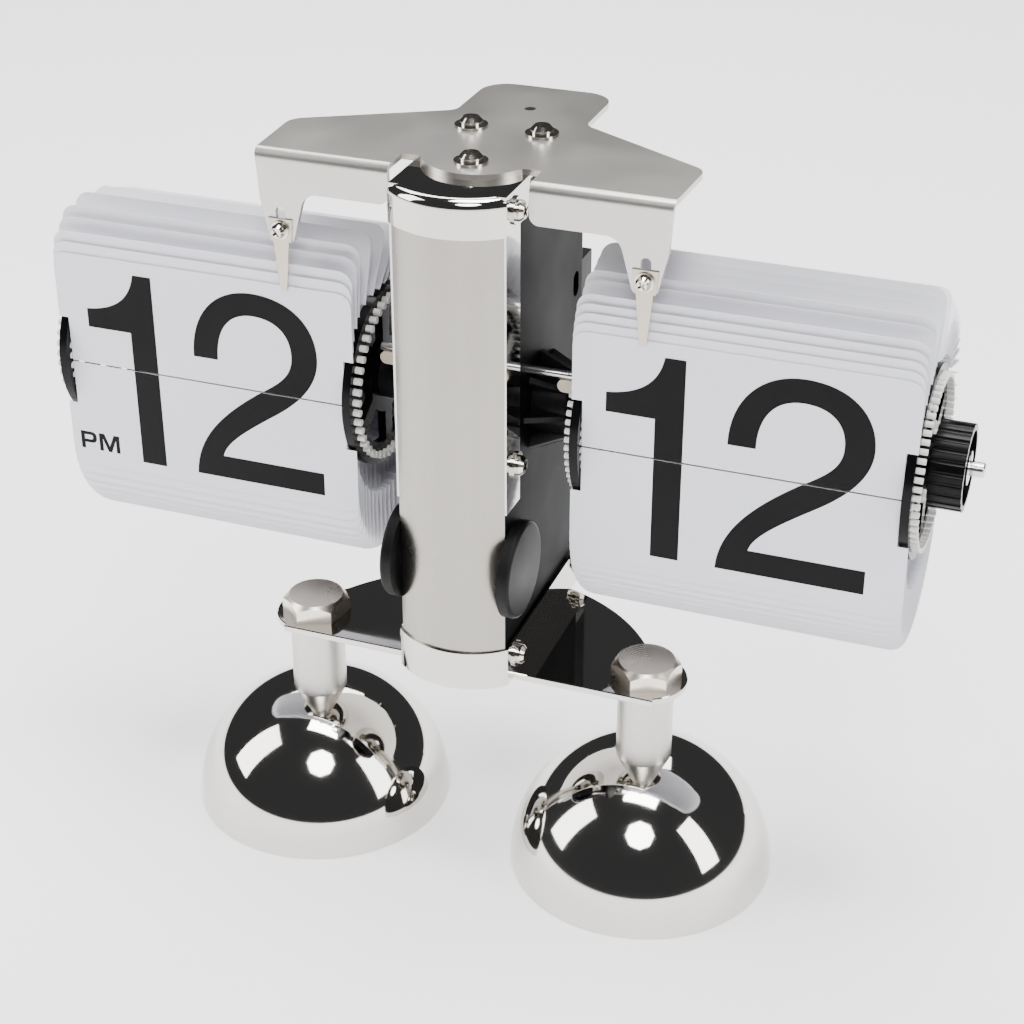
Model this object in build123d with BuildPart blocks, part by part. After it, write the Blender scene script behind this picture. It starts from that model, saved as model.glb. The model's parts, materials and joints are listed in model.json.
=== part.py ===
from build123d import *
import os
from math import atan2, cos, degrees, pi, radians, sin, sqrt

# Flip number clock: two drums of number leaves on one axle, carried by a
# chrome column that stands on two bell-shaped feet.
#
# Frame: +Z up, +X to the right seen from the front, the number leaves face -Y.
# The origin is on the ground below the middle of the column, and the drums'
# axle lies on the line y = 0, z = AXLE_Z.

os.makedirs("parts", exist_ok=True)

# ---- driving dimensions, millimetres and degrees -------------------------
AXLE_Z = 104.0
AXLE_R = 1.5
AXLE_HALF = 102.0
RUN_CLEARANCE = 0.05

LEAF_W = 68.0
LEAF_H = 24.7
LEAF_T = 0.15
LEAF_CORNER = 3.0
LEAF_GAP = 0.34
LEAF_NOTCH_W = 2.2
LEAF_NOTCH_H = 9.9
CARD_INNER_X = 23.35
CARD_OUTER_X = CARD_INNER_X + LEAF_W
PIVOT_R = 17.4
MINUTE_LEAVES = 60
HOUR_LEAVES = 48

FLANGE_R = 19.5
FLANGE_T = 1.8
FLANGE_INSET = 0.2
RIM_W = 4.6
HUB_R = 5.0
JOURNAL_R = 3.9
TAB_OUT = 1.5
TAB_HOLE_PLAY = 0.1

COLUMN_HALF = 11.5
COLUMN_SIDE_Y = -23.2
COLUMN_SAGITTA = 4.5
SHEET = 0.7
TRIM_PROUD = 0.6
TRIM_T = 0.5

PLATE_TOP = 47.6
PLATE_T = 1.6
PLATE_REAR_R = 42.5
PLATE_CENTRE_Y = -22.4
PLATE_END_R = 8.8
BAND_TOP = 56.4
WALL_END_Y = 26.0

FOOT_X = 38.4
FOOT_Y = -9.6
BELL_R = 29.0
BELL_DROP = 0.4
BELL_T = 1.2
STEM_R = 6.0
BOLT_R = 4.0
BOLT_PLAY = 0.15
BOLT_FLATS = 13.0
BOLT_HEAD_T = 4.2

CAP_BOTTOM = 148.4
CAP_TOP = 156.2
CHANNEL_T = 0.8
RAIL_BOTTOM = 88.6
RAIL_REAR_Y = -15.5
HOUSING_HALF = 11.1
HOUSING_T = 1.2
HOUSING_REAR_Y = 26.3

SCREW_R = 1.0
BRACKET_SCREW_R = 1.2
BRACKET_SCREWS = ((-7.5, 9.0), (7.5, 9.0), (0, -10.5))
BRACKET_HOLE_Y = 23.0
BRACKET_HOLE_R = 1.2

BRACKET_T = 1.2
BRACKET_FRONT_Y = -17.75
BRACKET_HALF = 42.6
CATCH_X = 37.6

GEAR_M = 0.5
SLOW_GEAR_M = 0.7
MINUTE_TEETH = 72
PINION_TEETH = 12
IDLER_TEETH = 29
HOUR_TEETH = 48
MOTOR_Y = -18.6

BATTERY_R = 7.1
BATTERY_L = 50.2
CASE_HALF = 8.8
CASE_FRONT_Y = 21.9
CASE_REAR_Y = 38.6
CASE_BOTTOM = 66.0
CASE_TOP = 122.0

# ---- values worked out from them -----------------------------------------
COLUMN_R = (COLUMN_HALF**2 + COLUMN_SAGITTA**2) / (2 * COLUMN_SAGITTA)
TRIM_HALF = COLUMN_HALF + TRIM_PROUD
TRIM_FRONT_Y = COLUMN_SIDE_Y - COLUMN_SAGITTA - TRIM_PROUD
CHANNEL_HALF = HOUSING_HALF + CHANNEL_T
SIDE_SCREWS = ((-18.0, 152.0, CHANNEL_HALF), (-17.8, 97.6, CHANNEL_HALF), (-17.7, 52.3, TRIM_HALF),
               (22.6, 52.3, TRIM_HALF))
PLATE_BOTTOM = PLATE_TOP - PLATE_T
MESH_GAP = GEAR_M * (MINUTE_TEETH + PINION_TEETH) / 2
COUNTER_Z = AXLE_Z + MESH_GAP
IDLER_DISTANCE = GEAR_M * (MINUTE_TEETH + IDLER_TEETH) / 2
MOTOR_DISTANCE = IDLER_DISTANCE + GEAR_M * (IDLER_TEETH + PINION_TEETH) / 2
MOTOR_Z = AXLE_Z - sqrt(MOTOR_DISTANCE**2 - MOTOR_Y**2)
MOTOR_ANGLE = degrees(atan2(MOTOR_Z - AXLE_Z, MOTOR_Y))
IDLER_Y = MOTOR_Y * IDLER_DISTANCE / MOTOR_DISTANCE
IDLER_Z = AXLE_Z + (MOTOR_Z - AXLE_Z) * IDLER_DISTANCE / MOTOR_DISTANCE
FLANGE_INNER_X = CARD_INNER_X + FLANGE_INSET
FLANGE_OUTER_X = CARD_OUTER_X - FLANGE_INSET - FLANGE_T
CASE_T = 0.9


def save(piece, name):
    """Label a finished piece and write it as one STEP file."""
    piece.part.label = name
    export_step(piece.part, f"parts/{name}.step")


def side_plane(x, y=0.0, z=0.0):
    """A plane across the X axis whose sketch x is +Y and sketch y is +Z."""
    return Plane(origin=(x, y, z), x_dir=(0, 1, 0), z_dir=(1, 0, 0))


def disc(radius, x0, x1, y=0.0, z=AXLE_Z, bore=0.0, mode=Mode.ADD):
    """A round disc or tube along X between x0 and x1."""
    with BuildSketch(side_plane(min(x0, x1), y, z)) as section:
        Circle(radius)
        if bore:
            Circle(bore, mode=Mode.SUBTRACT)
    extrude(section.sketch, amount=abs(x1 - x0), mode=mode)


def side_screw_holes(half):
    """Clearance holes for the side screws, out to the given half width."""
    for y, z, _ in SIDE_SCREWS:
        disc(SCREW_R, -half, half, y, z, mode=Mode.SUBTRACT)


def bracket_screw_holes(top, depth):
    """Holes for the three bracket screws, down from the given height."""
    with Locations(*[(x, y, top) for x, y in BRACKET_SCREWS]):
        Cylinder(BRACKET_SCREW_R, depth, align=(Align.CENTER, Align.CENTER, Align.MAX), mode=Mode.SUBTRACT)


def column_outline(half, side_y, front_y, rear_y):
    """The column's D section: a bowed front and straight sides."""
    with BuildLine() as outline:
        ThreePointArc((-half, side_y), (0, front_y), (half, side_y))
        Polyline((half, side_y), (half, rear_y), (-half, rear_y), (-half, side_y))
    make_face(outline.edges())


# ==== base ================================================================

with BuildPart() as base_plate:
    with BuildSketch(Plane.XY.offset(PLATE_BOTTOM)) as plate_face:
        with Locations((0, PLATE_CENTRE_Y)):
            Circle(PLATE_REAR_R)
        front_y = FOOT_Y - PLATE_END_R
        with Locations((0, front_y)):
            Rectangle(3 * PLATE_REAR_R, 2 * PLATE_REAR_R, align=(Align.CENTER, Align.MAX), mode=Mode.SUBTRACT)
        with Locations((-FOOT_X, FOOT_Y), (FOOT_X, FOOT_Y)):
            Circle(PLATE_END_R)
        fillet(plate_face.vertices().filter_by(lambda v: v.Y > front_y + 1), 5)
        with Locations((-FOOT_X, FOOT_Y), (FOOT_X, FOOT_Y)):
            Circle(BOLT_R + BOLT_PLAY, mode=Mode.SUBTRACT)
    extrude(amount=PLATE_T)
    chamfer(base_plate.faces().filter_by(Axis.Z).edges().filter_by(lambda e: e.length > 27), 0.2)
save(base_plate, "base_plate")

with BuildPart() as bottom_band:
    with BuildSketch(Plane.XY.offset(PLATE_TOP)):
        column_outline(TRIM_HALF, COLUMN_SIDE_Y, TRIM_FRONT_Y, WALL_END_Y)
    extrude(amount=BAND_TOP - PLATE_TOP)
    with BuildSketch(Plane.XY.offset(PLATE_TOP)):
        column_outline(TRIM_HALF - TRIM_T, COLUMN_SIDE_Y, TRIM_FRONT_Y + TRIM_T, WALL_END_Y + 1)
    extrude(amount=BAND_TOP - PLATE_TOP, mode=Mode.SUBTRACT)
    side_screw_holes(TRIM_HALF)
save(bottom_band, "bottom_band")

for side, label in ((-1, "left"), (1, "right")):
    centre = (side * FOOT_X, FOOT_Y)
    with BuildPart() as bell:
        with Locations((*centre, -BELL_DROP)):
            Sphere(BELL_R)
            Sphere(BELL_R - BELL_T, mode=Mode.SUBTRACT)
        with Locations((*centre, 0)):
            Box(3 * BELL_R, 3 * BELL_R, 2 * BELL_R, align=(Align.CENTER, Align.CENTER, Align.MAX), mode=Mode.SUBTRACT)
            Cylinder(BOLT_R + BOLT_PLAY, 2 * BELL_R, mode=Mode.SUBTRACT)
    save(bell, f"{label}_bell")

    with BuildPart() as stem:
        with BuildSketch(Plane.XY.offset(PLATE_BOTTOM)):
            with Locations(centre):
                Circle(STEM_R)
                Circle(BOLT_R + BOLT_PLAY, mode=Mode.SUBTRACT)
        extrude(amount=-(PLATE_BOTTOM - BELL_R + BELL_DROP + 2))
        chamfer(stem.faces().sort_by(Axis.Z)[0].outer_wire().edges(), 1.2)
        with Locations((*centre, -BELL_DROP)):
            Sphere(BELL_R, mode=Mode.SUBTRACT)
    save(stem, f"{label}_stem")

BOLT_END = 18.0
WASHER_TOP = 26.3
WASHER_T = 1.0
WASHER_R = 7.0
NUT_T = 4.6
with BuildPart() as hex_bolt:
    with BuildSketch():
        RegularPolygon(BOLT_FLATS / 2, 6, major_radius=False, rotation=20)
    extrude(amount=BOLT_HEAD_T)
    corner_r = BOLT_FLATS / 2 / cos(radians(30))
    Cone(corner_r + 3, BOLT_FLATS / 2 - 0.5, BOLT_HEAD_T,
         align=(Align.CENTER, Align.CENTER, Align.MIN), mode=Mode.INTERSECT)
    with BuildSketch():
        Circle(BOLT_R)
    extrude(amount=BOLT_END - PLATE_TOP)
with BuildPart() as foot_bolts:
    with Locations((-FOOT_X, FOOT_Y, PLATE_TOP), (FOOT_X, FOOT_Y, PLATE_TOP)):
        add(hex_bolt.part)
save(foot_bolts, "foot_bolts")

with BuildPart() as foot_washers:
    with BuildSketch(Plane.XY.offset(WASHER_TOP - WASHER_T)):
        with Locations((-FOOT_X, FOOT_Y), (FOOT_X, FOOT_Y)):
            Circle(WASHER_R)
            Circle(BOLT_R + BOLT_PLAY, mode=Mode.SUBTRACT)
    extrude(amount=WASHER_T)
save(foot_washers, "foot_washers")

with BuildPart() as foot_nuts:
    with BuildSketch(Plane.XY.offset(WASHER_TOP - WASHER_T - NUT_T)):
        with Locations((-FOOT_X, FOOT_Y), (FOOT_X, FOOT_Y)):
            RegularPolygon(BOLT_FLATS / 2, 6, major_radius=False)
            Circle(BOLT_R, mode=Mode.SUBTRACT)
    extrude(amount=NUT_T)
save(foot_nuts, "foot_nuts")

# ==== column ==============================================================

with BuildPart() as column_cover:
    with BuildSketch(Plane.XY.offset(PLATE_TOP + 2)):
        column_outline(COLUMN_HALF, COLUMN_SIDE_Y, COLUMN_SIDE_Y - COLUMN_SAGITTA, COLUMN_SIDE_Y + SHEET)
        with BuildLine():
            inner = COLUMN_HALF - SHEET
            ThreePointArc((-inner, COLUMN_SIDE_Y), (0, COLUMN_SIDE_Y - COLUMN_SAGITTA + SHEET), (inner, COLUMN_SIDE_Y))
            Polyline((inner, COLUMN_SIDE_Y), (inner, COLUMN_SIDE_Y + 5), (-inner, COLUMN_SIDE_Y + 5),
                     (-inner, COLUMN_SIDE_Y))
        make_face(mode=Mode.SUBTRACT)
        with Locations((0, COLUMN_SIDE_Y)):
            Rectangle(4 * COLUMN_HALF, 20, align=(Align.CENTER, Align.MIN), mode=Mode.SUBTRACT)
    extrude(amount=CAP_TOP - 2.5 - PLATE_TOP - 2)
save(column_cover, "column_cover")

CAP_SIDE_Y = COLUMN_SIDE_Y - 0.2
with BuildPart() as cap_inside:
    with BuildSketch(Plane.XY.offset(CAP_BOTTOM)):
        column_outline(TRIM_HALF - TRIM_T, CAP_SIDE_Y, TRIM_FRONT_Y + TRIM_T, COLUMN_SIDE_Y)
    extrude(amount=CAP_TOP - TRIM_T - CAP_BOTTOM)
    fillet(cap_inside.faces().sort_by(Axis.Z)[-1].edges().filter_by(GeomType.CIRCLE), 1.5)
with BuildPart() as top_cap:
    with BuildSketch(Plane.XY.offset(CAP_BOTTOM)):
        column_outline(TRIM_HALF, CAP_SIDE_Y, TRIM_FRONT_Y, COLUMN_SIDE_Y)
    extrude(amount=CAP_TOP - CAP_BOTTOM)
    fillet(top_cap.faces().sort_by(Axis.Z)[-1].edges().filter_by(GeomType.CIRCLE), 2.0)
    add(cap_inside.part, mode=Mode.SUBTRACT)
save(top_cap, "top_cap")

EAR_REAR_Y = -9.9
EAR_BOTTOM = 148.4
CHANNEL_REAR_Y = 14.0
with BuildPart() as column_channel:
    for x in (-CHANNEL_HALF, HOUSING_HALF):
        with BuildSketch(side_plane(x)):
            with BuildLine():
                Polyline((COLUMN_SIDE_Y, CAP_TOP), (EAR_REAR_Y, CAP_TOP), (EAR_REAR_Y - 1.4, EAR_BOTTOM),
                         (RAIL_REAR_Y, EAR_BOTTOM), (RAIL_REAR_Y, RAIL_BOTTOM), (COLUMN_SIDE_Y, RAIL_BOTTOM),
                         close=True)
            make_face()
        extrude(amount=CHANNEL_T)
    with Locations((0, COLUMN_SIDE_Y, CAP_TOP)):
        Box(2 * CHANNEL_HALF, CHANNEL_REAR_Y - COLUMN_SIDE_Y, CHANNEL_T, align=(Align.CENTER, Align.MIN, Align.MAX))
    side_screw_holes(CHANNEL_HALF)
    bracket_screw_holes(CAP_TOP, CHANNEL_T)
save(column_channel, "column_channel")

# ==== housing behind the column ===========================================

HOUSING_TOP = CAP_TOP - CHANNEL_T
with BuildPart() as housing:
    with Locations((0, COLUMN_SIDE_Y, PLATE_TOP)):
        Box(2 * HOUSING_HALF, HOUSING_REAR_Y - COLUMN_SIDE_Y, HOUSING_TOP - PLATE_TOP,
            align=(Align.CENTER, Align.MIN, Align.MIN))
    fillet(housing.edges().filter_by(Axis.Z).sort_by(Axis.Y)[-2:], 1.5)
    with Locations((0, COLUMN_SIDE_Y - 1, PLATE_TOP + HOUSING_T)):
        Box(2 * (HOUSING_HALF - HOUSING_T), HOUSING_REAR_Y - COLUMN_SIDE_Y - HOUSING_T + 1,
            HOUSING_TOP - PLATE_TOP - 2 * HOUSING_T, align=(Align.CENTER, Align.MIN, Align.MIN), mode=Mode.SUBTRACT)
    with Locations((0, HOUSING_REAR_Y, CASE_BOTTOM)):
        Box(2 * CASE_HALF, 6 * HOUSING_T, CASE_TOP - CASE_BOTTOM, align=(Align.CENTER, Align.CENTER, Align.MIN),
            mode=Mode.SUBTRACT)
    disc(JOURNAL_R + RUN_CLEARANCE, -HOUSING_HALF, HOUSING_HALF, mode=Mode.SUBTRACT)
    with BuildSketch(side_plane(0, 21.1, 121.1)):
        SlotCenterToCenter(2.2, 3.4, rotation=90)
    extrude(amount=HOUSING_HALF, mode=Mode.SUBTRACT)
    side_screw_holes(HOUSING_HALF)
    bracket_screw_holes(HOUSING_TOP, HOUSING_T)
save(housing, "housing")

GEAR_PLATE_HALF = 0.6
with BuildPart() as gear_plate:
    low_z = PLATE_TOP + HOUSING_T
    high_z = HOUSING_TOP - HOUSING_T
    with Locations((0, -20, low_z)):
        Box(2 * GEAR_PLATE_HALF, CASE_FRONT_Y + 20, high_z - low_z, align=(Align.CENTER, Align.MIN, Align.MIN))
    disc(AXLE_R, -GEAR_PLATE_HALF, GEAR_PLATE_HALF, mode=Mode.SUBTRACT)
    disc(5.6, -GEAR_PLATE_HALF, GEAR_PLATE_HALF, MOTOR_Y, MOTOR_Z, mode=Mode.SUBTRACT)
    disc(2.6, -GEAR_PLATE_HALF, GEAR_PLATE_HALF, 0, COUNTER_Z, mode=Mode.SUBTRACT)
save(gear_plate, "gear_plate")

with BuildPart() as bearing_bosses:
    boss_end = 18.5
    for side in (-1, 1):
        disc(7.2, side * HOUSING_HALF, side * boss_end, bore=HUB_R + 0.35)
        for angle in range(0, 360, 45):
            fin_normal = (0, -sin(radians(angle)), cos(radians(angle)))
            with BuildSketch(Plane(origin=(0, 0, AXLE_Z), x_dir=(1, 0, 0), z_dir=fin_normal)):
                with BuildLine():
                    Polyline((side * HOUSING_HALF, 6.5), (side * HOUSING_HALF, 11.0), (side * boss_end, 7.4),
                             (side * boss_end, 6.5), close=True)
                make_face()
            extrude(amount=0.6, both=True)
save(bearing_bosses, "bearing_bosses")

CAP_DISC_R = 10.3
with BuildPart() as motor_end_caps:
    for side in (-1, 1):
        disc(CAP_DISC_R, side * (TRIM_HALF - 0.5), side * 14.2, MOTOR_Y, MOTOR_Z)
        disc(4.2, side * HOUSING_HALF, side * (TRIM_HALF - 0.5), MOTOR_Y, MOTOR_Z)
    rims = motor_end_caps.edges().filter_by(GeomType.CIRCLE).filter_by(lambda e: abs(e.center().X) > 14)
    fillet(rims, 0.8)
save(motor_end_caps, "motor_end_caps")

MOTOR_R = 5.5
PINION_X = 6.0
WHEEL_END_X = 8.5
with BuildPart() as motor_body:
    disc(MOTOR_R, -(HOUSING_HALF - HOUSING_T), 4.5, MOTOR_Y, MOTOR_Z)
    fillet(motor_body.edges().filter_by(GeomType.CIRCLE), 0.5)
save(motor_body, "motor_body")

with BuildPart() as circuit_board:
    with Locations((0, HOUSING_REAR_Y - HOUSING_T, 51)):
        Box(16, 1.2, 13, align=(Align.CENTER, Align.MAX, Align.MIN))
save(circuit_board, "circuit_board")

with BuildPart() as timing_chip:
    with Locations((0, HOUSING_REAR_Y - HOUSING_T - 1.2, 55)):
        Box(7, 1.4, 5, align=(Align.CENTER, Align.MAX, Align.MIN))
    with Locations((-6, HOUSING_REAR_Y - HOUSING_T - 1.2, 54)):
        Box(1.8, 1.8, 6, align=(Align.CENTER, Align.MAX, Align.MIN))
save(timing_chip, "timing_chip")

# ==== battery case, cell and sliding door =================================

DOOR_HALF = CASE_HALF - CASE_T - 0.15
DOOR_T = 1.1
with BuildPart() as battery_case:
    with Locations((0, CASE_FRONT_Y, CASE_BOTTOM)):
        Box(2 * CASE_HALF, CASE_REAR_Y - CASE_FRONT_Y, CASE_TOP - CASE_BOTTOM,
            align=(Align.CENTER, Align.MIN, Align.MIN))
    with Locations((0, CASE_FRONT_Y + CASE_T, CASE_BOTTOM + CASE_T)):
        Box(2 * (CASE_HALF - CASE_T), CASE_REAR_Y, CASE_TOP - CASE_BOTTOM - 2 * CASE_T,
            align=(Align.CENTER, Align.MIN, Align.MIN), mode=Mode.SUBTRACT)
    with Locations((0, CASE_REAR_Y - DOOR_T - 0.4, CASE_BOTTOM)):
        Box(2 * (CASE_HALF - CASE_T), 2 * DOOR_T, 3 * CASE_T, align=(Align.CENTER, Align.MIN, Align.CENTER),
            mode=Mode.SUBTRACT)
save(battery_case, "battery_case")

with BuildPart() as battery_door:
    with Locations((0, CASE_REAR_Y, CASE_BOTTOM)):
        Box(2 * DOOR_HALF, DOOR_T, CASE_TOP - CASE_T - 0.3 - CASE_BOTTOM, align=(Align.CENTER, Align.MAX, Align.MIN))
    with Locations((0, CASE_REAR_Y, CASE_TOP - 12)):
        with GridLocations(0, 2.0, 1, 4):
            Box(9, 0.8, 0.9, mode=Mode.SUBTRACT)
save(battery_door, "battery_door")

CELL_Y = CASE_FRONT_Y + CASE_T + BATTERY_R + 0.1
CELL_BOTTOM = CASE_BOTTOM + CASE_T + 3.4
with BuildPart() as battery_cell:
    with BuildSketch(Plane.XY.offset(CELL_BOTTOM)):
        with Locations((0, CELL_Y)):
            Circle(BATTERY_R)
    extrude(amount=BATTERY_L - 1.2)
    with BuildSketch(Plane.XY.offset(CELL_BOTTOM)):
        with Locations((0, CELL_Y)):
            Circle(2.7)
    extrude(amount=BATTERY_L - 0.5)
save(battery_cell, "battery_cell")

with BuildPart() as battery_contacts:
    for z, align in ((CASE_BOTTOM + CASE_T, Align.MIN), (CASE_TOP - CASE_T, Align.MAX)):
        with Locations((0, CELL_Y, z)):
            Box(10, 9, 0.3, align=(Align.CENTER, Align.CENTER, align))
save(battery_contacts, "battery_contacts")

SPRING_LOW_R = 4.6
SPRING_TOP_R = 3.0
SPRING_WIRE = 0.3
SPRING_RINGS = 4
with BuildPart() as battery_spring:
    spring_low = CASE_BOTTOM + CASE_T + 0.3
    pitch = (CELL_BOTTOM - spring_low - 2 * SPRING_WIRE) / (SPRING_RINGS - 1)
    for ring in range(SPRING_RINGS):
        share = ring / (SPRING_RINGS - 1)
        with Locations((0, CELL_Y, spring_low + SPRING_WIRE + ring * pitch)):
            Torus(SPRING_LOW_R + share * (SPRING_TOP_R - SPRING_LOW_R), SPRING_WIRE)
save(battery_spring, "battery_spring")

# ==== axle and gear train =================================================


def gear(module, teeth, x0, x1, y, z, first_tooth, bore, mode=Mode.ADD):
    """A spur gear along X with one tooth centred on the angle first_tooth."""
    pitch_r = module * teeth / 2
    root_r = pitch_r - 1.15 * module
    tip_r = pitch_r + 0.85 * module
    root_half = 0.62 * pi * module / 2 / root_r
    pitch_half = 0.42 * pi * module / 2 / pitch_r
    tip_half = 0.24 * pi * module / 2 / tip_r
    profile = ((root_r - 0.1, -root_half), (pitch_r, -pitch_half), (tip_r, -tip_half),
               (tip_r, tip_half), (pitch_r, pitch_half), (root_r - 0.1, root_half))
    with BuildSketch(side_plane(x0, y, z)) as section:
        Circle(root_r)
        for tooth in range(teeth):
            centre = radians(first_tooth) + 2 * pi * tooth / teeth
            points = [(r * cos(centre + a), r * sin(centre + a)) for r, a in profile]
            with BuildLine():
                Polyline(*points, close=True)
            make_face()
        Circle(bore, mode=Mode.SUBTRACT)
    extrude(section.sketch, amount=x1 - x0, mode=mode)


BORE_R = AXLE_R + RUN_CLEARANCE
with BuildPart() as axle:
    disc(AXLE_R, -AXLE_HALF, AXLE_HALF)
    chamfer(axle.edges().filter_by(GeomType.CIRCLE), 0.3)
save(axle, "axle")

PIN_R = 1.0
with BuildPart() as gear_pins:
    disc(PIN_R, -(HOUSING_HALF - HOUSING_T), HOUSING_HALF - HOUSING_T, 0, COUNTER_Z)
    disc(PIN_R, GEAR_PLATE_HALF, HOUSING_HALF - HOUSING_T, IDLER_Y, IDLER_Z)
save(gear_pins, "gear_pins")

with BuildPart() as minute_gear:
    gear(GEAR_M, MINUTE_TEETH, PINION_X, WHEEL_END_X, 0, AXLE_Z, MOTOR_ANGLE, BORE_R)
save(minute_gear, "minute_gear")

with BuildPart() as minute_pinion:
    gear(GEAR_M, PINION_TEETH, 2.5, PINION_X, 0, AXLE_Z, 90, BORE_R)
save(minute_pinion, "minute_pinion")

with BuildPart() as counter_gear:
    gear(GEAR_M, MINUTE_TEETH, 2.8, 5.2, 0, COUNTER_Z, 270 + 180 / MINUTE_TEETH, PIN_R + RUN_CLEARANCE)
save(counter_gear, "counter_gear")

with BuildPart() as counter_pinion:
    gear(SLOW_GEAR_M, PINION_TEETH, -5.5, -1.2, 0, COUNTER_Z, 270, PIN_R + RUN_CLEARANCE)
    disc(2.2, -1.2, 2.8, 0, COUNTER_Z, bore=PIN_R + RUN_CLEARANCE)
save(counter_pinion, "counter_pinion")

with BuildPart() as hour_gear:
    gear(SLOW_GEAR_M, HOUR_TEETH, -5.2, -2.2, 0, AXLE_Z, 90 + 180 / HOUR_TEETH, BORE_R)
save(hour_gear, "hour_gear")

with BuildPart() as idler_gear:
    first = MOTOR_ANGLE + 180 + 180 / IDLER_TEETH
    gear(GEAR_M, IDLER_TEETH, PINION_X, WHEEL_END_X, IDLER_Y, IDLER_Z, first, PIN_R + RUN_CLEARANCE)
save(idler_gear, "idler_gear")

with BuildPart() as motor_pinion:
    gear(GEAR_M, PINION_TEETH, PINION_X, WHEEL_END_X, MOTOR_Y, MOTOR_Z, MOTOR_ANGLE + 180 + 180 / PINION_TEETH, 0.7)
    disc(0.7, 4.6, 9.8, MOTOR_Y, MOTOR_Z)
save(motor_pinion, "motor_pinion")

# ==== number drums ========================================================


def flange(x0, x1, leaves, first_angle, tab_r):
    """A spoked drum end with one pivot hole for each leaf."""
    window_r = FLANGE_R - RIM_W
    with BuildSketch(side_plane(min(x0, x1), 0, AXLE_Z)) as section:
        Circle(FLANGE_R)
        Circle(window_r, mode=Mode.SUBTRACT)
        Circle(HUB_R + 3.2)
        for spoke in range(6):
            with Locations(Rotation(0, 0, 60 * spoke + 30)):
                with Locations((window_r / 2 + 1, 0)):
                    Rectangle(window_r, 3.4)
        Circle(HUB_R, mode=Mode.SUBTRACT)
        with PolarLocations(PIVOT_R, leaves, start_angle=first_angle):
            Circle(tab_r + TAB_HOLE_PLAY / 2, mode=Mode.SUBTRACT)
    extrude(section.sketch, amount=abs(x1 - x0))


def tab_ring(side, leaves, first_angle, tab_r):
    """The leaves' pivot tabs, through both flanges of one drum."""
    spans = ((FLANGE_INNER_X - TAB_OUT, FLANGE_INNER_X + FLANGE_T), (FLANGE_OUTER_X, FLANGE_OUTER_X + FLANGE_T + TAB_OUT))
    for low, high in spans:
        start = low if side > 0 else -high
        with BuildSketch(side_plane(start, 0, AXLE_Z)) as section:
            with PolarLocations(PIVOT_R, leaves, start_angle=first_angle):
                Circle(tab_r)
        extrude(section.sketch, amount=high - low)


DRUMS = (("hour", -1, HOUR_LEAVES, 0.72, -WHEEL_END_X + 3.3), ("minute", 1, MINUTE_LEAVES, 0.6, WHEEL_END_X))
for label, side, leaves, tab_r, hub_start in DRUMS:
    first_angle = 180 / leaves
    with BuildPart() as hub:
        disc(JOURNAL_R, hub_start, side * 12.8, bore=BORE_R)
        disc(HUB_R, side * 12.8, side * (CARD_OUTER_X - FLANGE_INSET), bore=BORE_R)
    save(hub, f"{label}_hub")

    with BuildPart() as inner_flange:
        flange(side * FLANGE_INNER_X, side * (FLANGE_INNER_X + FLANGE_T), leaves, first_angle, tab_r)
    save(inner_flange, f"{label}_inner_flange")

    with BuildPart() as outer_flange:
        flange(side * FLANGE_OUTER_X, side * (FLANGE_OUTER_X + FLANGE_T), leaves, first_angle, tab_r)
    save(outer_flange, f"{label}_outer_flange")

    with BuildPart() as tabs:
        tab_ring(side, leaves, first_angle, tab_r)
    save(tabs, f"{label}_leaf_tabs")

KNOB_R = 8.8
KNOB_START = CARD_OUTER_X - FLANGE_INSET
KNOB_END = 99.0
FLUTES = 24
with BuildPart() as set_knob:
    disc(5.5, KNOB_START, KNOB_START + 1.2, bore=BORE_R)
    with BuildSketch(side_plane(KNOB_START + 1.2, 0, AXLE_Z)):
        Circle(KNOB_R)
        with PolarLocations(KNOB_R + 0.25, FLUTES):
            Circle(0.65, mode=Mode.SUBTRACT)
        Circle(BORE_R, mode=Mode.SUBTRACT)
    extrude(amount=KNOB_END - KNOB_START - 1.2)
    disc(KNOB_R - 1.3, KNOB_END - 2.4, KNOB_END, mode=Mode.SUBTRACT)
    disc(3.2, KNOB_END - 2.4, KNOB_END - 0.8, bore=BORE_R)
save(set_knob, "set_knob")

with BuildPart() as hour_end_collar:
    disc(5.5, -KNOB_START, -(KNOB_START + 5), bore=BORE_R)
    fillet(hour_end_collar.edges().filter_by(GeomType.CIRCLE).sort_by(Axis.X)[0], 0.6)
save(hour_end_collar, "hour_end_collar")

with BuildPart() as axle_clips:
    for x0 in (-(KNOB_START + 5.4), KNOB_END - 0.6):
        with BuildSketch(side_plane(x0 if x0 > 0 else x0 - 0.6, 0, AXLE_Z)):
            Circle(3.4)
            Circle(AXLE_R, mode=Mode.SUBTRACT)
            with Locations((0, 3)):
                Rectangle(1.6, 4, mode=Mode.SUBTRACT)
        extrude(amount=0.6)
save(axle_clips, "axle_clips")

# ==== number leaves =======================================================


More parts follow.
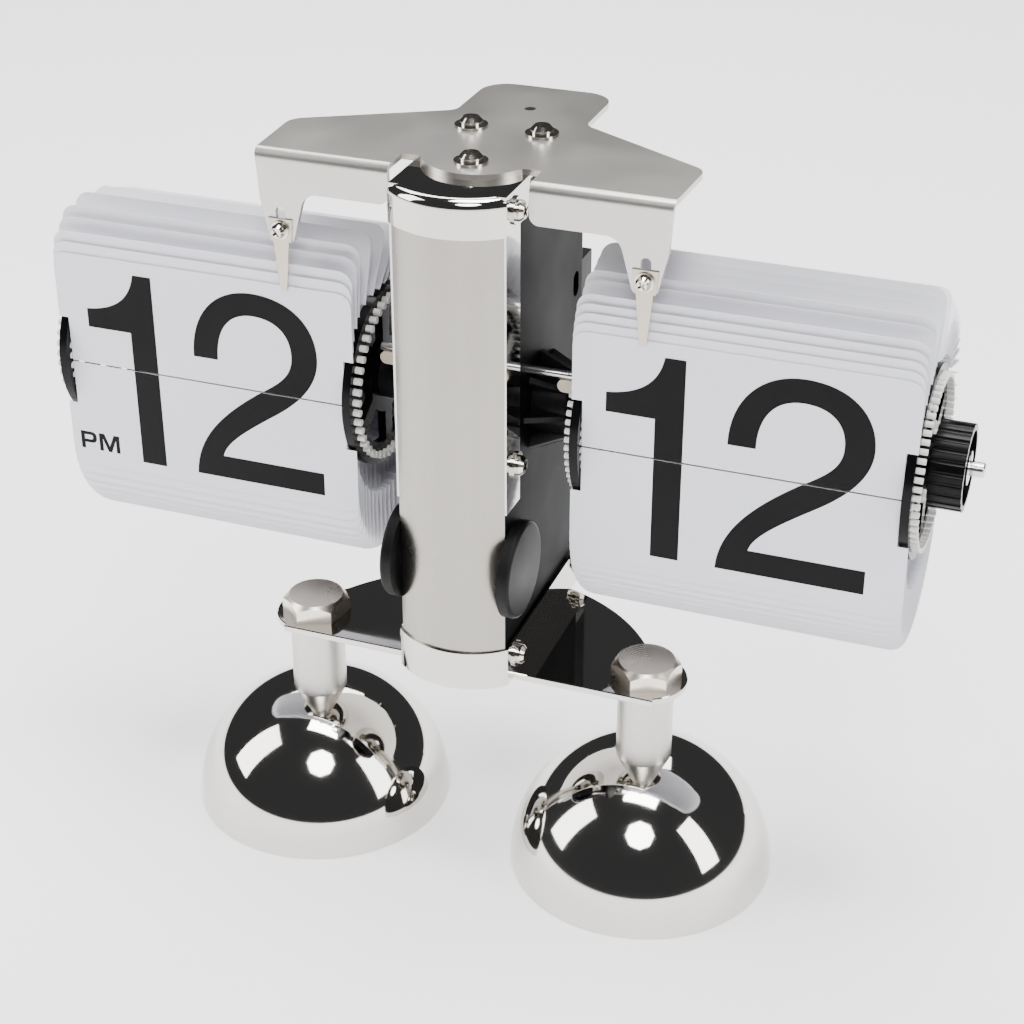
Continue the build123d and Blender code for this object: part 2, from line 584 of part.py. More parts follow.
def leaf(side, theta, lean, edge):
    """One leaf on its pivot: theta is its place on the ring, counted from the
    front over the top; lean is how far it tips back from straight up; edge is
    how far the leaf reaches past its pivot, towards the other half."""
    y = -PIVOT_R * cos(radians(theta))
    z = AXLE_Z + PIVOT_R * sin(radians(theta))
    facing = (0, -cos(radians(lean)), sin(radians(lean)))
    middle = side * (CARD_INNER_X + LEAF_W / 2)
    with BuildSketch(Plane(origin=(middle, y, z), x_dir=(1, 0, 0), z_dir=facing)) as face:
        with Locations((0, -edge)):
            Rectangle(LEAF_W - 2 * LEAF_NOTCH_W, LEAF_H, align=(Align.CENTER, Align.MIN))
        with Locations((0, LEAF_NOTCH_H - edge)):
            Rectangle(LEAF_W, LEAF_H - LEAF_NOTCH_H, align=(Align.CENTER, Align.MIN))
        fillet(face.vertices().group_by(Axis.Y)[-1], LEAF_CORNER)
    extrude(face.sketch, amount=LEAF_T / 2, both=True)


def lean_at(theta, steps):
    """The lean of the leaf at theta, in a straight line between the steps."""
    for (low, low_lean), (high, high_lean) in zip(steps, steps[1:]):
        if theta <= high:
            return low_lean + (high_lean - low_lean) * (theta - low) / (high - low)
    return high_lean


HANGING = 180.0
STANDING_TO = 62.0
LEAN_STEPS = {
    "minute": ((0, 0), (28, 1), (33, 8), (40, 9), (45, 20), (57, 24), (63, 42), (69, 58), (180, 172)),
    "hour": ((0, 0), (20, 0.5), (26, 5), (34, 7), (41, 18), (49, 35), (56, 48), (64, 56), (180, 171)),
}
for label, side, leaves, tab_r, hub_start in DRUMS:
    step = 360 / leaves
    edge = PIVOT_R * sin(radians(step / 2)) - LEAF_GAP / 2
    places = [step / 2 + step * count for count in range(leaves)]
    groups = {
        "front_leaves": [t for t in places if t < STANDING_TO],
        "rear_leaves": [t for t in places if STANDING_TO <= t < HANGING],
        "lower_leaves": [t for t in places if HANGING <= t < 360 - step],
        "flip_leaf": places[-1:],
    }
    for group, members in groups.items():
        with BuildPart() as leaves_part:
            for theta in members:
                lean = lean_at(theta, LEAN_STEPS[label]) if theta < HANGING else HANGING
                leaf(side, theta, lean, edge)
        save(leaves_part, f"{label}_{group}")

# ==== top bracket and leaf catches ========================================

BRACKET_BOTTOM = CAP_TOP
BRACKET_TOP = BRACKET_BOTTOM + BRACKET_T
NOTCH_Y = -10.6
NOTCH_OUT = 14.4
TONGUE_HALF = 10.5
TONGUE_FRONT_Y = -17.2
LOBE_HALF = 14.0
LOBE_REAR_Y = 37.0
SKIRT_BOTTOM = 149.2
LEG_BOTTOM = 138.9
with BuildPart() as top_bracket:
    with BuildSketch(Plane.XY.offset(BRACKET_BOTTOM)) as sheet:
        with BuildLine():
            ThreePointArc((-TONGUE_HALF, NOTCH_Y), (0, TONGUE_FRONT_Y), (TONGUE_HALF, NOTCH_Y))
            right = ((TONGUE_HALF, NOTCH_Y), (NOTCH_OUT, NOTCH_Y), (NOTCH_OUT, BRACKET_FRONT_Y),
                     (BRACKET_HALF, BRACKET_FRONT_Y), (BRACKET_HALF + 0.8, 0.6), (LOBE_HALF, 17.2),
                     (LOBE_HALF, LOBE_REAR_Y))
            Polyline(*right, *[(-x, y) for x, y in reversed(right)])
        make_face()
        fillet(sheet.vertices().filter_by(lambda v: v.Y > 30), 6)
        fillet(sheet.vertices().filter_by(lambda v: abs(v.X) > 43 and v.Y > 0), 4)
        fillet(sheet.vertices().filter_by(lambda v: abs(abs(v.X) - LOBE_HALF) < 0.1 and 10 < v.Y < 20), 3)
        with Locations(*BRACKET_SCREWS):
            Circle(BRACKET_SCREW_R, mode=Mode.SUBTRACT)
        with Locations((0, BRACKET_HOLE_Y)):
            Circle(BRACKET_HOLE_R, mode=Mode.SUBTRACT)
    extrude(amount=BRACKET_T)
    for side in (-1, 1):
        with BuildSketch(Plane.XZ.offset(-BRACKET_FRONT_Y)) as skirt:
            with BuildLine():
                outline = ((NOTCH_OUT, BRACKET_TOP), (NOTCH_OUT, SKIRT_BOTTOM), (32.2, SKIRT_BOTTOM),
                           (35.0, LEG_BOTTOM), (40.0, LEG_BOTTOM), (41.9, 147.0), (BRACKET_HALF, BRACKET_TOP))
                Polyline(*[(side * x, z) for x, z in outline], close=True)
            make_face()
            fillet(skirt.vertices().filter_by(lambda v: abs(abs(v.X) - 32.2) < 0.1), 3.5)
            fillet(skirt.vertices().filter_by(lambda v: abs(abs(v.X) - NOTCH_OUT) < 0.1 and v.Y < 150), 2)
            with Locations((side * CATCH_X, LEG_BOTTOM + 3.9)):
                SlotCenterToCenter(4.0, 2.1, rotation=90, mode=Mode.SUBTRACT)
        extrude(amount=-BRACKET_T)
    bend = top_bracket.edges().filter_by(Axis.X).filter_by(lambda e: abs(e.center().X) > NOTCH_OUT)
    fillet(bend.filter_by(lambda e: abs(e.center().Z - BRACKET_TOP) < 0.01
                          and abs(e.center().Y - BRACKET_FRONT_Y) < 0.01), 1.9)
save(top_bracket, "top_bracket")

CATCH_T = 0.4
CATCH_TIP_Z = 128.1
for side, label in ((-1, "hour"), (1, "minute")):
    with BuildPart() as catch:
        with BuildSketch(Plane.XZ.offset(-BRACKET_FRONT_Y)) as blade:
            with BuildLine():
                Polyline((CATCH_X - 2.6, LEG_BOTTOM + 4.6), (CATCH_X + 2.6, LEG_BOTTOM + 4.6),
                         (CATCH_X + 2.2, LEG_BOTTOM - 0.2), (CATCH_X + 1.7, LEG_BOTTOM - 0.2),
                         (CATCH_X + 0.7, CATCH_TIP_Z), (CATCH_X - 0.7, CATCH_TIP_Z),
                         (CATCH_X - 1.7, LEG_BOTTOM - 0.2), (CATCH_X - 2.2, LEG_BOTTOM - 0.2), close=True)
            make_face()
            if side < 0:
                mirror(about=Plane.YZ, mode=Mode.REPLACE)
            with Locations((side * CATCH_X, LEG_BOTTOM + 2.3)):
                Circle(1.0, mode=Mode.SUBTRACT)
        extrude(amount=CATCH_T)
    save(catch, f"{label}_leaf_catch")

# ==== screws and detents ==================================================


def screw(plane, head_r, washer_r, shank_r, shank_length):
    """A cross-recessed screw with its washer, seated on the given plane."""
    washer_t = 0.5
    head_t = 1.5
    seat = plane.location
    with Locations(seat):
        Cylinder(washer_r, washer_t, align=(Align.CENTER, Align.CENTER, Align.MIN))
    with Locations(seat * Location((0, 0, washer_t))):
        Cylinder(head_r, head_t / 2, align=(Align.CENTER, Align.CENTER, Align.MIN))
    with Locations(seat * Location((0, 0, washer_t + head_t / 2))):
        Cone(head_r, 0.7 * head_r, head_t / 2, align=(Align.CENTER, Align.CENTER, Align.MIN))
    with Locations(seat * Location((0, 0, washer_t + head_t))):
        Box(1.2 * head_r, 0.3 * head_r, 1.6, mode=Mode.SUBTRACT)
        Box(0.3 * head_r, 1.2 * head_r, 1.6, mode=Mode.SUBTRACT)
    with Locations(seat):
        Cylinder(shank_r, shank_length, align=(Align.CENTER, Align.CENTER, Align.MAX))


with BuildPart() as bracket_screws:
    for x, y in BRACKET_SCREWS:
        screw(Plane(origin=(x, y, BRACKET_TOP), x_dir=(0.8, 0.6, 0)), 2.4, 3.4, BRACKET_SCREW_R, 3.1)
save(bracket_screws, "bracket_screws")

with BuildPart() as side_screws:
    for side in (-1, 1):
        for y, z, seat_x in SIDE_SCREWS:
            seat = Plane(origin=(side * seat_x, y, z), x_dir=(0, 0.9, 0.4), z_dir=(side, 0, 0))
            screw(seat, 2.1, 2.8, SCREW_R, seat_x - HOUSING_HALF + HOUSING_T)
save(side_screws, "side_screws")

with BuildPart() as catch_screws:
    for side in (-1, 1):
        seat = Plane(origin=(side * CATCH_X, BRACKET_FRONT_Y - CATCH_T, LEG_BOTTOM + 2.3), x_dir=(0.8, 0, 0.6),
                     z_dir=(0, -1, 0))
        screw(seat, 1.5, 1.9, 1.0, 3.0)
save(catch_screws, "catch_screws")

DETENT_Y = -7.4
DETENT_Z = 114.0
with BuildPart() as detent_rods:
    for side in (-1, 1):
        disc(0.9, side * HOUSING_HALF, side * 21.2, DETENT_Y, DETENT_Z)
save(detent_rods, "detent_rods")

with BuildPart() as detent_tongues:
    for side in (-1, 1):
        with BuildSketch(Plane.XZ.offset(-DETENT_Y)):
            with Locations((side * 19.3, DETENT_Z - 2.3)):
                SlotOverall(4.4, 2.8)
        extrude(amount=0.6, both=True)
save(detent_tongues, "detent_tongues")
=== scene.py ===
# %% [markdown]
# # Dressing a flip clock
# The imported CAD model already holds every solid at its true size. This lesson
# gives those solids their finishes and adds the printed numerals. Nothing is
# moved: a finished look has to sit on the shape that the maker cut.

# %% Load the frame
import json
from math import radians

import bmesh
import bpy
from mathutils import Matrix, Vector


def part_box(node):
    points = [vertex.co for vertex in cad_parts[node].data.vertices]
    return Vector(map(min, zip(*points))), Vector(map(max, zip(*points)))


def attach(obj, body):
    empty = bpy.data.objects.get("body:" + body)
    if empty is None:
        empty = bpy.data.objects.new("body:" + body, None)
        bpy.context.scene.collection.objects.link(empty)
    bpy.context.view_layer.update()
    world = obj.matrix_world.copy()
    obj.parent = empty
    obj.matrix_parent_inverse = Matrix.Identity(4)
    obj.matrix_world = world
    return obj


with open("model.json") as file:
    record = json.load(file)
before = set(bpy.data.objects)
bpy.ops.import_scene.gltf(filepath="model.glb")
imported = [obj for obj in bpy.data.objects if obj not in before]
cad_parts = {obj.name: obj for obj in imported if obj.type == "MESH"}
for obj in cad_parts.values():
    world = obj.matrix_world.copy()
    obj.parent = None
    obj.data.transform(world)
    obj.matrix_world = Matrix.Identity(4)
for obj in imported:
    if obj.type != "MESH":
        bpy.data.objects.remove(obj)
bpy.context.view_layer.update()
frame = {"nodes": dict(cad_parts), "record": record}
NODES = frame["nodes"]
MM = 0.001

# %% [markdown]
# ## The viewpoint
# The clock is seen from its right and from well above, through a longish lens,
# so the columns and cards keep nearly parallel sides. A short lens close up
# would make the near card far too large beside the other one.

# %% Camera
camera_data = bpy.data.cameras.new("clock_camera")
camera_data.lens = 73.2
camera_data.sensor_width = 36.0
camera = bpy.data.objects.new("clock_camera", camera_data)
camera.location = (0.1386, -0.3639, 0.2955)
camera.rotation_euler = (radians(60.46), 0.0, radians(20.23))
bpy.context.scene.collection.objects.link(camera)
bpy.context.scene.camera = camera
print("camera", [round(v, 3) for v in camera.location])

# %% [markdown]
# ## The studio
# Polished metal has almost no colour of its own: what we see is the room. A
# dim room with a few bright panels gives the black bands and crisp highlights
# of chrome. A plain white room would make the same chrome look like plaster.
# The price is that a flat mirror facing an empty part of the room reads black.

# %% Floor
FLOOR_HALF = 3.0
floor_mesh = bmesh.new()
bmesh.ops.create_grid(floor_mesh, x_segments=1, y_segments=1, size=FLOOR_HALF)
floor_data = bpy.data.meshes.new("studio_floor")
floor_mesh.to_mesh(floor_data)
floor_mesh.free()
floor = bpy.data.objects.new("studio_floor", floor_data)
bpy.context.scene.collection.objects.link(floor)
floor_paint = bpy.data.materials.new("floor_paint")
floor_paint.use_nodes = True
floor_shader = floor_paint.node_tree.nodes["Principled BSDF"]
floor_shader.inputs["Base Color"].default_value = (0.92, 0.92, 0.92, 1.0)
floor_shader.inputs["Roughness"].default_value = 0.7
floor_shader.inputs["Emission Color"].default_value = (1.0, 1.0, 1.0, 1.0)
floor_shader.inputs["Emission Strength"].default_value = 0.8
floor_data.materials.append(floor_paint)

# %% Soft lights
def soft_panel(name, place, aim, size, watts):
    """One studio panel that faces the point aim."""
    data = bpy.data.lights.new(name, "AREA")
    data.shape = "RECTANGLE"
    data.size, data.size_y = size
    data.energy = watts
    panel = bpy.data.objects.new(name, data)
    panel.location = place
    direction = Vector(aim) - panel.location
    panel.rotation_euler = direction.to_track_quat("-Z", "Y").to_euler()
    bpy.context.scene.collection.objects.link(panel)

CLOCK_MIDDLE = (0.0, 0.0, 0.09)
soft_panel("left_panel", (-0.85, -0.35, 0.6), CLOCK_MIDDLE, (0.4, 0.8), 7)
soft_panel("right_panel", (0.95, -0.15, 0.55), CLOCK_MIDDLE, (0.35, 0.8), 6)
soft_panel("rear_panel", (-0.4, 0.8, 1.2), CLOCK_MIDDLE, (1.4, 0.45), 14)
soft_panel("ceiling", (0.05, 0.15, 1.7), (0.05, 0.15, 0.0), (0.8, 0.8), 38)

# %% Octagonal light box
OCTAGON_R = 0.30
OCTAGON_PLACE = Vector((0.25, -0.8, 1.15))
OCTAGON_GLOW = 12.0
octagon_mesh = bmesh.new()
bmesh.ops.create_circle(octagon_mesh, cap_ends=True, segments=8, radius=OCTAGON_R)
towards_clock = Vector(CLOCK_MIDDLE) - OCTAGON_PLACE
facing = towards_clock.to_track_quat("-Z", "Y").to_matrix().to_4x4()
octagon_mesh.transform(Matrix.Translation(OCTAGON_PLACE) @ facing)
octagon_data = bpy.data.meshes.new("octagon_box")
octagon_mesh.to_mesh(octagon_data)
octagon_mesh.free()
octagon = bpy.data.objects.new("octagon_box", octagon_data)
bpy.context.scene.collection.objects.link(octagon)
octagon_glow = bpy.data.materials.new("octagon_glow")
octagon_glow.use_nodes = True
octagon_shader = octagon_glow.node_tree.nodes["Principled BSDF"]
octagon_shader.inputs["Emission Color"].default_value = (1, 1, 1, 1)
octagon_shader.inputs["Emission Strength"].default_value = OCTAGON_GLOW
octagon_data.materials.append(octagon_glow)

# %% The dim room
room = bpy.data.worlds.new("dim_room")
room.use_nodes = True
room.node_tree.nodes["Background"].inputs["Color"].default_value = (0.5, 0.5, 0.52, 1.0)
room.node_tree.nodes["Background"].inputs["Strength"].default_value = 0.10
bpy.context.scene.world = room

# %% [markdown]
# ## Shared surface effects
# Several finishes share two effects: a fine grain drawn out in one direction,
# as an abrasive belt leaves it, and a faint unevenness from handling. The foot
# bolts add a third, the rings that a lathe leaves. Each is a node group, built
# once and placed with its own values.

# %% Node group helpers
def start_group(name, inputs, outputs):
    """An empty shader group with float or vector sockets."""
    group = bpy.data.node_groups.new(name, "ShaderNodeTree")
    for label, kind, default in inputs:
        socket = group.interface.new_socket(label, in_out="INPUT", socket_type=kind)
        socket.default_value = default
    for label in outputs:
        group.interface.new_socket(label, in_out="OUTPUT", socket_type="NodeSocketFloat")
    return group, group.nodes.new("NodeGroupInput"), group.nodes.new("NodeGroupOutput")

def drawn_grain():
    """Long fine scratches: noise squeezed across the stroke."""
    group, entry, leave = start_group(
        "drawn_grain", [("Stretch", "NodeSocketVector", (1, 1, 1))], ["Height"])
    place = group.nodes.new("ShaderNodeTexCoord")
    stretch = group.nodes.new("ShaderNodeVectorMath")
    stretch.operation = "MULTIPLY"
    noise = group.nodes.new("ShaderNodeTexNoise")
    noise.inputs["Scale"].default_value = 1.0
    noise.inputs["Detail"].default_value = 3.0
    group.links.new(place.outputs["Object"], stretch.inputs[0])
    group.links.new(entry.outputs["Stretch"], stretch.inputs[1])
    group.links.new(stretch.outputs[0], noise.inputs["Vector"])
    group.links.new(noise.outputs["Fac"], leave.inputs["Height"])
    return group

def handling():
    """Roughness that drifts between a clean value and a handled one."""
    group, entry, leave = start_group(
        "handling", [("Scale", "NodeSocketFloat", 40.0), ("Clean", "NodeSocketFloat", 0.1),
                     ("Handled", "NodeSocketFloat", 0.2)], ["Roughness"])
    place = group.nodes.new("ShaderNodeTexCoord")
    noise = group.nodes.new("ShaderNodeTexNoise")
    noise.inputs["Detail"].default_value = 5.0
    spread = group.nodes.new("ShaderNodeMapRange")
    spread.inputs["From Min"].default_value = 0.35
    spread.inputs["From Max"].default_value = 0.7
    group.links.new(place.outputs["Object"], noise.inputs["Vector"])
    group.links.new(entry.outputs["Scale"], noise.inputs["Scale"])
    group.links.new(noise.outputs["Fac"], spread.inputs["Value"])
    group.links.new(entry.outputs["Clean"], spread.inputs["To Min"])
    group.links.new(entry.outputs["Handled"], spread.inputs["To Max"])
    group.links.new(spread.outputs["Result"], leave.inputs["Roughness"])
    return group

def turned_rings():
    """Circles about the two foot bolts, as a lathe tool leaves them."""
    group, entry, leave = start_group(
        "turned_rings", [("Centre", "NodeSocketVector", (0, 0, 0)), ("Pitch", "NodeSocketFloat", 0.001)],
        ["Height"])
    place = group.nodes.new("ShaderNodeTexCoord")
    fold = group.nodes.new("ShaderNodeVectorMath")
    fold.operation = "ABSOLUTE"
    offset = group.nodes.new("ShaderNodeVectorMath")
    offset.operation = "SUBTRACT"
    flatten = group.nodes.new("ShaderNodeVectorMath")
    flatten.operation = "MULTIPLY"
    flatten.inputs[1].default_value = (1, 1, 0)
    radius = group.nodes.new("ShaderNodeVectorMath")
    radius.operation = "LENGTH"
    turns = group.nodes.new("ShaderNodeMath")
    turns.operation = "DIVIDE"
    wave = group.nodes.new("ShaderNodeMath")
    wave.operation = "SINE"
    group.links.new(place.outputs["Object"], fold.inputs[0])
    group.links.new(fold.outputs[0], offset.inputs[0])
    group.links.new(entry.outputs["Centre"], offset.inputs[1])
    group.links.new(offset.outputs[0], flatten.inputs[0])
    group.links.new(flatten.outputs[0], radius.inputs[0])
    group.links.new(radius.outputs["Value"], turns.inputs[0])
    group.links.new(entry.outputs["Pitch"], turns.inputs[1])
    group.links.new(turns.outputs[0], wave.inputs[0])
    group.links.new(wave.outputs[0], leave.inputs["Height"])
    return group

GRAIN, HANDLING, RINGS = drawn_grain(), handling(), turned_rings()
print("groups", [g.name for g in bpy.data.node_groups])

# %% [markdown]
# ## Finishes
# One function lays down the parts that all finishes share, and each finish is
# a line of values. Values that are the same all over go on the shader's own
# sockets, and only what changes over the surface arrives by a link.

# %% One finish
DRIFT_SCALE = 22.0
DARKEST, LIGHTEST = 0.93, 1.06

def finish_of(name, colour, metallic, clean, handled, mark_scale=40.0, grain=None,
              grain_depth=0.0, rings=None, coat=0.0, specular=0.5, streak=(1, 1, 1)):
    """A procedural material: colour drift, handled roughness, and a bump."""
    material = bpy.data.materials.new(name)
    material.use_nodes = True
    tree = material.node_tree
    shader = tree.nodes["Principled BSDF"]
    shader.inputs["Metallic"].default_value = metallic
    shader.inputs["Coat Weight"].default_value = coat
    shader.inputs["Specular IOR Level"].default_value = specular

    place = tree.nodes.new("ShaderNodeTexCoord")
    drift = tree.nodes.new("ShaderNodeTexNoise")
    drift.inputs["Scale"].default_value = DRIFT_SCALE
    draw_out = tree.nodes.new("ShaderNodeMapping")
    draw_out.inputs["Scale"].default_value = streak
    tree.links.new(place.outputs["Object"], draw_out.inputs["Vector"])
    tree.links.new(draw_out.outputs["Vector"], drift.inputs["Vector"])
    shade = tree.nodes.new("ShaderNodeMix")
    shade.data_type = "RGBA"
    shade.inputs["A"].default_value = (*[c * DARKEST for c in colour], 1.0)
    shade.inputs["B"].default_value = (*[min(1.0, c * LIGHTEST) for c in colour], 1.0)
    tree.links.new(drift.outputs["Fac"], shade.inputs["Factor"])
    tree.links.new(shade.outputs["Result"], shader.inputs["Base Color"])

    marks = tree.nodes.new("ShaderNodeGroup")
    marks.node_tree = HANDLING
    marks.inputs["Scale"].default_value = mark_scale
    marks.inputs["Clean"].default_value = clean
    marks.inputs["Handled"].default_value = handled
    tree.links.new(marks.outputs["Roughness"], shader.inputs["Roughness"])

    if grain or rings:
        relief = tree.nodes.new("ShaderNodeGroup")
        relief.node_tree = GRAIN if grain else RINGS
        if grain:
            relief.inputs["Stretch"].default_value = grain
        else:
            relief.inputs["Centre"].default_value = rings[0]
            relief.inputs["Pitch"].default_value = rings[1]
        bump = tree.nodes.new("ShaderNodeBump")
        bump.inputs["Strength"].default_value = 1.0
        bump.inputs["Distance"].default_value = grain_depth
        tree.links.new(relief.outputs["Height"], bump.inputs["Height"])
        tree.links.new(bump.outputs["Normal"], shader.inputs["Normal"])
    return material

# %% The finishes of this clock
# The rings are worked out on folded coordinates, so both values are positive
# though the bolts stand at negative y. One centre then serves both bolts.
BOLT_CENTRE = (0.0384, 0.0096, 0.0)
RING_PITCH = 0.00011
FINISHES = {
    "mirror_chrome": finish_of("mirror_chrome", (0.66, 0.64, 0.61), 1.0, 0.035, 0.075),
    "brushed_nickel": finish_of("brushed_nickel", (0.37, 0.345, 0.315), 1.0, 0.24, 0.30,
                                grain=(6500, 6500, 35), grain_depth=0.000012,
                                streak=(9, 9, 0.25)),
    "satin_nickel": finish_of("satin_nickel", (0.62, 0.595, 0.56), 1.0, 0.30, 0.36,
                              grain=(40, 1500, 1500), grain_depth=0.0000015),
    "warm_nickel": finish_of("warm_nickel", (0.55, 0.49, 0.41), 1.0, 0.26, 0.34,
                             grain=(5200, 5200, 60), grain_depth=0.000008),
    "bright_nickel": finish_of("bright_nickel", (0.72, 0.68, 0.62), 1.0, 0.10, 0.18),
    "steel": finish_of("steel", (0.64, 0.64, 0.64), 1.0, 0.2, 0.28,
                       grain=(50, 5000, 5000), grain_depth=0.000006),
    "black_gloss": finish_of("black_gloss", (0.003, 0.003, 0.0035), 0.0, 0.18, 0.28, specular=0.12),
    "black_satin": finish_of("black_satin", (0.004, 0.004, 0.0045), 0.0, 0.38, 0.48,
                             grain=(2600, 2600, 2600), grain_depth=0.00001, specular=0.16),
    "leaf_white": finish_of("leaf_white", (0.82, 0.82, 0.88), 0.0, 0.38, 0.48,
                            grain=(1800, 1800, 1800), grain_depth=0.000004),
    "tab_white": finish_of("tab_white", (0.82, 0.81, 0.77), 0.0, 0.4, 0.5,
                           grain=(2600, 2600, 2600), grain_depth=0.000005),
    "tongue_cream": finish_of("tongue_cream", (0.72, 0.62, 0.48), 0.0, 0.36, 0.46,
                              grain=(2600, 2600, 2600), grain_depth=0.000005),
    "gear_acetal": finish_of("gear_acetal", (0.76, 0.75, 0.70), 0.0, 0.32, 0.42,
                             grain=(2000, 2000, 2000), grain_depth=0.000005),
    "brass": finish_of("brass", (0.74, 0.56, 0.26), 1.0, 0.22, 0.32,
                       grain=(5000, 60, 5000), grain_depth=0.000008),
    "board_green": finish_of("board_green", (0.02, 0.12, 0.05), 0.0, 0.3, 0.4, coat=0.3),
    "cell_wrap": finish_of("cell_wrap", (0.05, 0.16, 0.32), 0.0, 0.2, 0.28, coat=0.4),
}
OWN_FINISH = {
    "housing": finish_of("housing_black", (0.004, 0.004, 0.0045), 0.0, 0.42, 0.52, specular=0.04),
    "foot_bolts": finish_of("turned_bolt", (0.86, 0.78, 0.68), 1.0, 0.25, 0.33,
                            rings=(BOLT_CENTRE, RING_PITCH), grain_depth=0.000004),
}
for part in frame["record"]["subparts"]:
    node = NODES[part["node"]]
    node.data.materials.clear()
    node.data.materials.append(OWN_FINISH.get(part["node"]) or FINISHES[part["material_slot"]])
print("finished nodes", sum(len(o.data.materials) == 1 for o in NODES.values()))

# %% [markdown]
# ## The printed numerals
# Each number is printed across two leaves and cut by the gap between them. A
# font would not have the long-necked one and the round-shouldered two, so each
# figure is a closed outline, filled, and then cut at the gap by a plane. The
# ink is a real layer, so it exports, but it is thin enough for two printed
# faces to hang back to back: the minute leaves are only 0.04 mm apart.

# %% The gap between the leaves
STANDING_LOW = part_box("minute_front_leaves")[0]
FALLEN_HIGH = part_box("minute_flip_leaf")[1]
AXLE_Z = (STANDING_LOW.z + FALLEN_HIGH.z) / 2
HALF_GAP = (STANDING_LOW.z - FALLEN_HIGH.z) / 2 / MM
print("axle mm", round(AXLE_Z / MM, 2), "half gap mm", round(HALF_GAP, 3))

# %% Outlines of the figures, in millimetres from the middle of the card
INK = finish_of("numeral_ink", (0.004, 0.004, 0.004), 0.0, 0.5, 0.6,
                grain=(1800, 1800, 1800), grain_depth=0.000004, specular=0.12)
INK_T = 0.015
CURVE_STEPS = 16
FIGURE_TOP = 22.0
SECOND_ONE = 29.0
# Each entry is a corner or curve point, the handle before it, and the one after.
ONE = (
    ((-17.0, -22.0), None, None), ((-11.2, -22.0), None, None),
    ((-11.2, FIGURE_TOP), None, None), ((-15.4, FIGURE_TOP), None, (-16.4, 16.2)),
    ((-27.0, 12.9), (-20.5, 13.4), None), ((-27.0, 8.7), None, None), ((-17.0, 8.7), None, None),
)
TWO = (
    ((-2.4, 5.8), None, (-2.4, 15.8)), ((11.9, FIGURE_TOP), (3.6, FIGURE_TOP), (20.4, FIGURE_TOP)),
    ((26.0, 9.4), (26.0, 17.0), (26.0, 3.2)), ((16.0, -4.8), (20.6, -1.6), (9.0, -9.6)),
    ((2.9, -16.8), (3.6, -13.4), None), ((26.3, -16.8), None, None), ((26.3, -22.0), None, None),
    ((-3.6, -22.0), None, (-3.2, -13.2)), ((11.8, -0.8), (3.4, -6.8), (17.0, 2.6)),
    ((20.2, 9.2), (20.2, 4.6), (20.2, 14.2)), ((11.8, 17.0), (17.0, 17.0), (6.6, 17.0)),
    ((3.2, 5.8), (3.2, 13.2), None),
)

def outline_curve(figures):
    """A filled flat curve from (outline, shift) pairs."""
    curve = bpy.data.curves.new("figure_outline", "CURVE")
    curve.dimensions = "2D"
    curve.fill_mode = "BOTH"
    curve.resolution_u = CURVE_STEPS
    for outline, shift in figures:
        spline = curve.splines.new("BEZIER")
        spline.bezier_points.add(len(outline) - 1)
        spline.use_cyclic_u = True
        for point, (at, before, after) in zip(spline.bezier_points, outline):
            point.handle_left_type = point.handle_right_type = "FREE"
            point.co = (at[0] + shift, at[1], 0)
            near, far = before or at, after or at
            point.handle_left = (near[0] + shift, near[1], 0)
            point.handle_right = (far[0] + shift, far[1], 0)
    return curve

# %% Print a half on a leaf
def mesh_of(data):
    """The plain mesh of a curve or text, which is then removed."""
    holder = bpy.data.objects.new("holder", data)
    bpy.context.scene.collection.objects.link(holder)
    bpy.context.view_layer.update()
    evaluated = holder.evaluated_get(bpy.context.evaluated_depsgraph_get())
    flat = bmesh.new()
    flat.from_mesh(evaluated.to_mesh())
    evaluated.to_mesh_clear()
    bpy.data.objects.remove(holder)
    return flat

SAME_POINT = 0.0005

def print_on_leaf(name, data, middle_x, gap_z, side, face_y, body, turned=False):
    """Cut the flat ink at the gap, thicken it and lay it on the leaf's face.
    turned is the far face of a leaf that shows upright once it is lifted."""
    ink = mesh_of(data)
    bmesh.ops.remove_doubles(ink, verts=ink.verts, dist=SAME_POINT)
    if side != "whole":
        sign = 1 if side == "upper" else -1
        bmesh.ops.bisect_plane(ink, geom=ink.verts[:] + ink.edges[:] + ink.faces[:],
                               plane_co=(0, sign * HALF_GAP, 0), plane_no=(0, -sign, 0),
                               clear_outer=True)
    solid = bmesh.ops.extrude_face_region(ink, geom=ink.faces[:])
    raised = [v for v in solid["geom"] if isinstance(v, bmesh.types.BMVert)]
    bmesh.ops.translate(ink, verts=raised, vec=(0, 0, INK_T))
    across = -1 if turned else 1
    for vert in ink.verts:
        x, z, depth = vert.co
        vert.co = (middle_x + x * MM, face_y - across * depth * MM, gap_z + across * z * MM)
    bmesh.ops.recalc_face_normals(ink, faces=ink.faces)
    mesh = bpy.data.meshes.new(name)
    ink.to_mesh(mesh)
    ink.free()
    mesh.materials.append(INK)
    piece = bpy.data.objects.new(name, mesh)
    bpy.context.scene.collection.objects.link(piece)
    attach(piece, body)
    print(name, "faces", len(mesh.polygons))

# %% [markdown]
# ## Where each print goes
# Every leaf is printed at the same place on itself. The leaf behind the fallen
# one hangs one step further round the drum, so its print hangs lower as well.
# Drawn level with the gap instead, its ink would stick out above its own leaf.

# %% Print both drums
SAME_LEAF = 0.1 * MM

def front_leaf_top(node, front_y):
    """The top of the leaf that hangs furthest forward in a pack."""
    return max(v.co.z for v in NODES[node].data.vertices if v.co.y < front_y + SAME_LEAF)

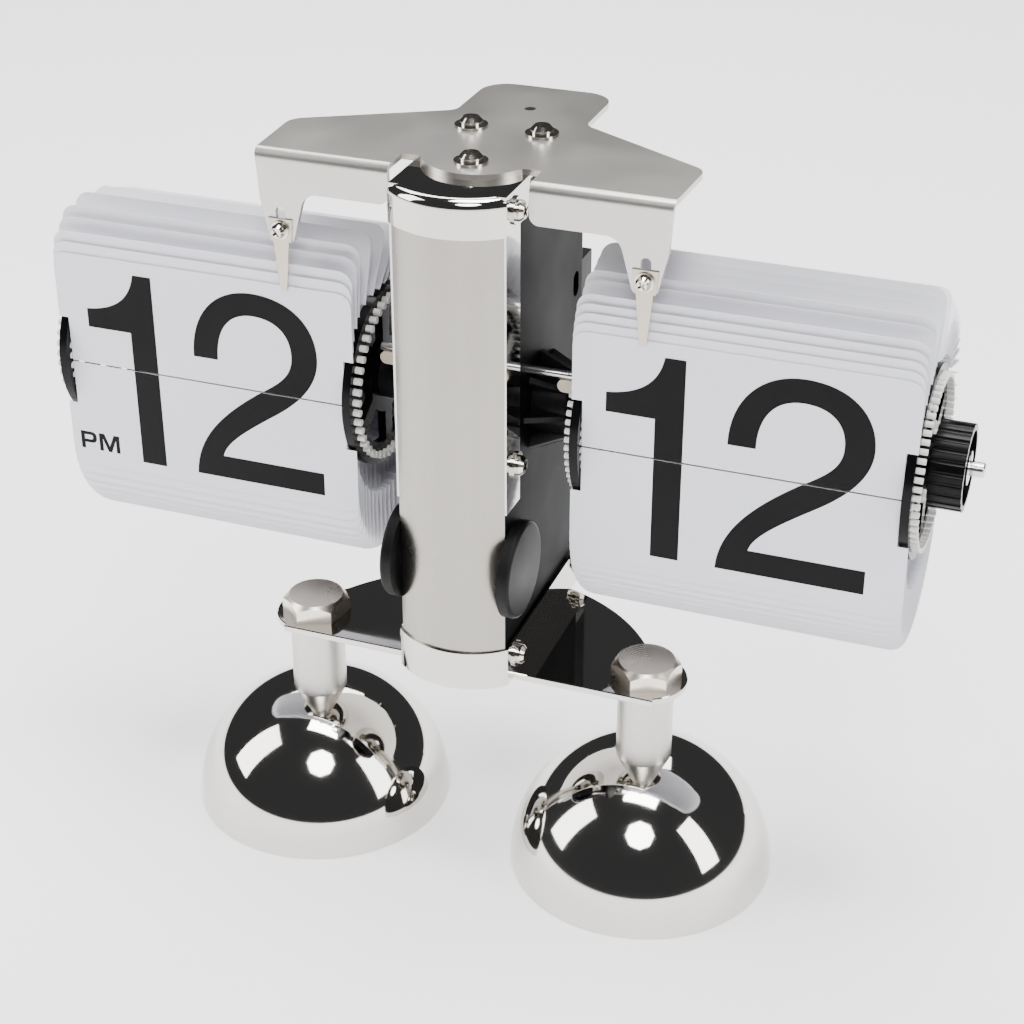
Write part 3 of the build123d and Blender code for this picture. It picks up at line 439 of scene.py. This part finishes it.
for drum in ("hour", "minute"):
    low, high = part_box(f"{drum}_flip_leaf")
    stand_low, stand_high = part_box(f"{drum}_front_leaves")
    hang_low, hang_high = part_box(f"{drum}_lower_leaves")
    middle_x = (low.x + high.x) / 2
    drop = high.z - front_leaf_top(f"{drum}_lower_leaves", hang_low.y)
    print(drum, "leaf behind hangs lower by mm", round(drop / MM, 2))
    twelve = ((ONE, 0.0), (TWO, 0.0))
    eleven = ((ONE, 0.0), (ONE, SECOND_ONE))
    print_on_leaf(f"{drum}_numeral_upper", outline_curve(twelve), middle_x, AXLE_Z, "upper",
                  stand_low.y, "frame")
    print_on_leaf(f"{drum}_numeral_lower", outline_curve(twelve), middle_x, AXLE_Z, "lower",
                  low.y, f"{drum}_flip")
    print_on_leaf(f"{drum}_earlier_upper", outline_curve(eleven), middle_x, AXLE_Z, "upper",
                  high.y, f"{drum}_flip", turned=True)
    print_on_leaf(f"{drum}_earlier_lower", outline_curve(eleven), middle_x, AXLE_Z - drop, "lower",
                  hang_low.y, "frame")

# %% [markdown]
# ## The half-day mark
# The hour leaf carries a small bold mark for morning or afternoon low on its
# left. A font's letters are too thin when they are this small, so the two
# letters are outlines as well. The hole in the first is a second outline:
# a flat curve fills only between the two.

# %% Half-day mark
LETTER_P = (
    ((0.0, 0.0), None, None), ((0.0, 4.2), None, None), ((2.5, 4.2), None, (3.5, 4.2)),
    ((3.9, 2.85), (3.9, 3.7), (3.9, 2.0)), ((2.5, 1.5), (3.5, 1.5), None),
    ((0.95, 1.5), None, None), ((0.95, 0.0), None, None),
)
LETTER_P_HOLE = (
    ((0.95, 2.3), None, None), ((2.35, 2.3), None, (2.85, 2.3)), ((2.95, 2.85), (2.95, 2.5), (2.95, 3.2)),
    ((2.35, 3.4), (2.85, 3.4), None), ((0.95, 3.4), None, None),
)
LETTER_M = tuple(((x, z), None, None) for x, z in (
    (0.0, 0.0), (0.0, 4.2), (1.35, 4.2), (2.5, 1.35), (3.65, 4.2), (5.0, 4.2), (5.0, 0.0),
    (4.1, 0.0), (4.1, 3.0), (2.9, 0.0), (2.1, 0.0), (0.9, 3.0), (0.9, 0.0)))
MARK_INSET = 2.0
MARK_BASE = -21.0
LETTER_STEP = 4.5
hour_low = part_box("hour_flip_leaf")[0]
mark = outline_curve(((LETTER_P, 0.0), (LETTER_P_HOLE, 0.0), (LETTER_M, LETTER_STEP)))
print_on_leaf("half_day_mark", mark, hour_low.x + MARK_INSET * MM, AXLE_Z + MARK_BASE * MM,
              "whole", hour_low.y, "hour_flip")
